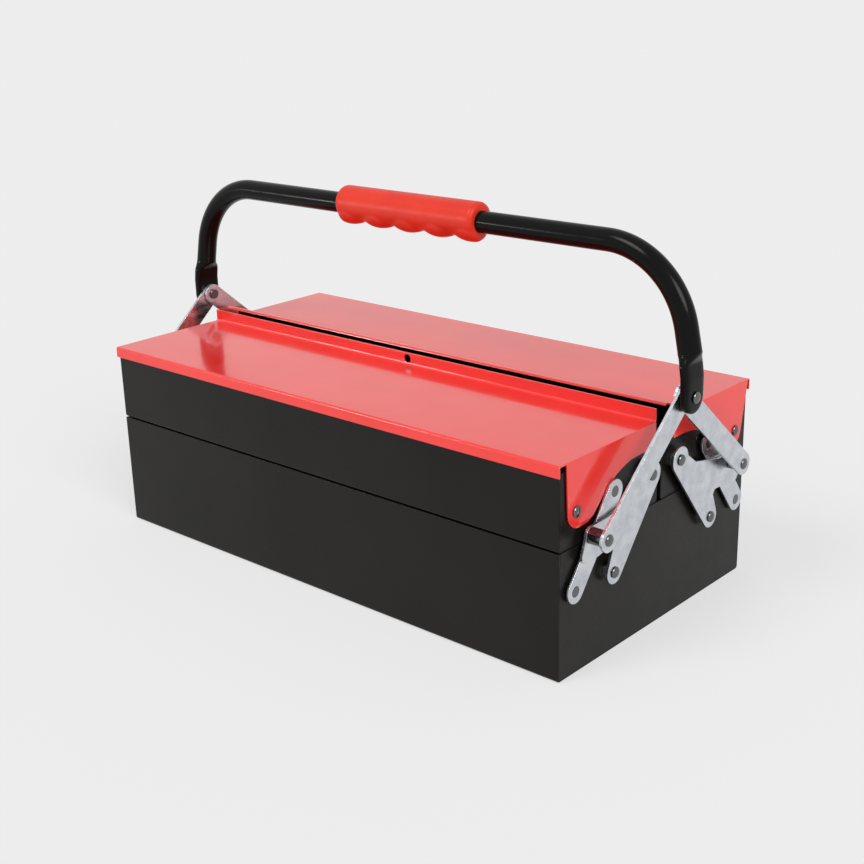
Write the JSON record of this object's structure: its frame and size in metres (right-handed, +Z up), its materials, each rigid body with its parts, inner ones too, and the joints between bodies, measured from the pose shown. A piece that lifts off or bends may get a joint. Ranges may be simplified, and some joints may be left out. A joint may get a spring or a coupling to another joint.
{
  "type": "cantilever tool box",
  "caption": "Steel tool box whose lidded upper trays swing out sideways on parallel levers when the bow handle is lowered and the lower box opens.",
  "frame": {"origin": "middle of the lower box underside, on the surface the box stands on", "axes": "+X along the length, +Y from the front tray to the rear tray, +Z up"},
  "size_m": [0.485, 0.2232, 0.2717],
  "materials": {
    "black_paint": "semi-gloss black enamel",
    "red_paint": "gloss red enamel",
    "zinc": "bright zinc plate",
    "nickel": "polished nickel plate",
    "black_tube": "gloss black enamel",
    "red_grip": "soft satin moulded plastic"
  },
  "bodies": {
    "lower_box": {"lower_box": "black_paint", "lower_box_ends": "black_paint", "lever_pivot_rivets": "nickel", "link_pivot_rivets": "nickel", "lower_spacers": "zinc"},
    "front_levers": {"front_lever_right": "zinc", "front_lever_left": "zinc"},
    "rear_levers": {"rear_lever_right": "zinc", "rear_lever_left": "zinc"},
    "front_links": {"front_link_right": "zinc", "front_link_left": "zinc"},
    "rear_links": {"rear_link_right": "zinc", "rear_link_left": "zinc"},
    "front_tray": {"front_tray": "black_paint", "front_tray_ends": "black_paint", "front_tray_rivets": "nickel", "front_tray_spacers": "zinc", "front_lid_rivets": "nickel"},
    "rear_tray": {"rear_tray": "black_paint", "rear_tray_ends": "black_paint", "rear_tray_rivets": "nickel", "rear_tray_spacers": "zinc", "rear_lid_rivets": "nickel"},
    "front_lid": {"front_lid": "red_paint"},
    "rear_lid": {"rear_lid": "red_paint"},
    "handle_pins": {"handle_pivot_rivets": "nickel"},
    "front_arms": {"front_arm_right": "zinc", "front_arm_left": "zinc", "front_arm_bushes": "nickel", "front_arm_rivets": "nickel"},
    "rear_arms": {"rear_arm_right": "zinc", "rear_arm_left": "zinc", "rear_arm_bushes": "nickel", "rear_arm_rivets": "nickel"},
    "handle": {"handle_tube": "black_tube", "handle_grip": "red_grip"}
  },
  "joints": [
    {"name": "front_swing", "type": "hinge", "parent": "lower_box", "child": "front_levers", "pos_m": [0, -0.058, 0.0595], "axis": [1, 0, 0], "range_deg": [0, 74]},
    {"name": "rear_swing", "type": "hinge", "parent": "lower_box", "child": "rear_levers", "pos_m": [0, 0.058, 0.0595], "axis": [1, 0, 0], "range_deg": [-74, 0]},
    {"name": "front_link_swing", "type": "hinge", "parent": "lower_box", "child": "front_links", "pos_m": [0, -0.0965, 0.0595], "axis": [1, 0, 0], "range_deg": [0, 74]},
    {"name": "rear_link_swing", "type": "hinge", "parent": "lower_box", "child": "rear_links", "pos_m": [0, 0.0965, 0.0595], "axis": [1, 0, 0], "range_deg": [-74, 0]},
    {"name": "front_tray_level", "type": "hinge", "parent": "front_levers", "child": "front_tray", "pos_m": [0, -0.017, 0.1135], "axis": [1, 0, 0], "range_deg": [-74, 0]},
    {"name": "rear_tray_level", "type": "hinge", "parent": "rear_levers", "child": "rear_tray", "pos_m": [0, 0.017, 0.1135], "axis": [1, 0, 0], "range_deg": [0, 74]},
    {"name": "front_lid_hinge", "type": "hinge", "parent": "front_tray", "child": "front_lid", "pos_m": [0, -0.094, 0.112], "axis": [1, 0, 0], "range_deg": [0, 105]},
    {"name": "rear_lid_hinge", "type": "hinge", "parent": "rear_tray", "child": "rear_lid", "pos_m": [0, 0.094, 0.112], "axis": [1, 0, 0], "range_deg": [-105, 0]},
    {"name": "handle_drop", "type": "slide", "parent": "lower_box", "child": "handle_pins", "axis": [0, 0, -1], "range_m": [0, 0.0705]},
    {"name": "front_arm_spread", "type": "hinge", "parent": "handle_pins", "child": "front_arms", "pos_m": [0, 0, 0.165], "axis": [1, 0, 0], "range_deg": [-13.75, 0]},
    {"name": "rear_arm_spread", "type": "hinge", "parent": "handle_pins", "child": "rear_arms", "pos_m": [0, 0, 0.165], "axis": [1, 0, 0], "range_deg": [0, 13.75]},
    {"name": "handle_tilt", "type": "hinge", "parent": "handle_pins", "child": "handle", "pos_m": [0, 0, 0.165], "axis": [1, 0, 0], "range_deg": [-38, 38]}
  ],
  "couplings": [
    {"joint": "rear_swing", "follows": "front_swing", "ratio": -1},
    {"joint": "front_link_swing", "follows": "front_swing", "ratio": 1},
    {"joint": "rear_link_swing", "follows": "front_swing", "ratio": -1},
    {"joint": "front_tray_level", "follows": "front_swing", "ratio": -1},
    {"joint": "rear_tray_level", "follows": "front_swing", "ratio": 1},
    {"joint": "handle_drop", "follows": "front_swing", "m_per_rad": 0.05447},
    {"joint": "front_arm_spread", "follows": "front_swing", "ratio": -0.1852},
    {"joint": "rear_arm_spread", "follows": "front_swing", "ratio": 0.1852}
  ]
}
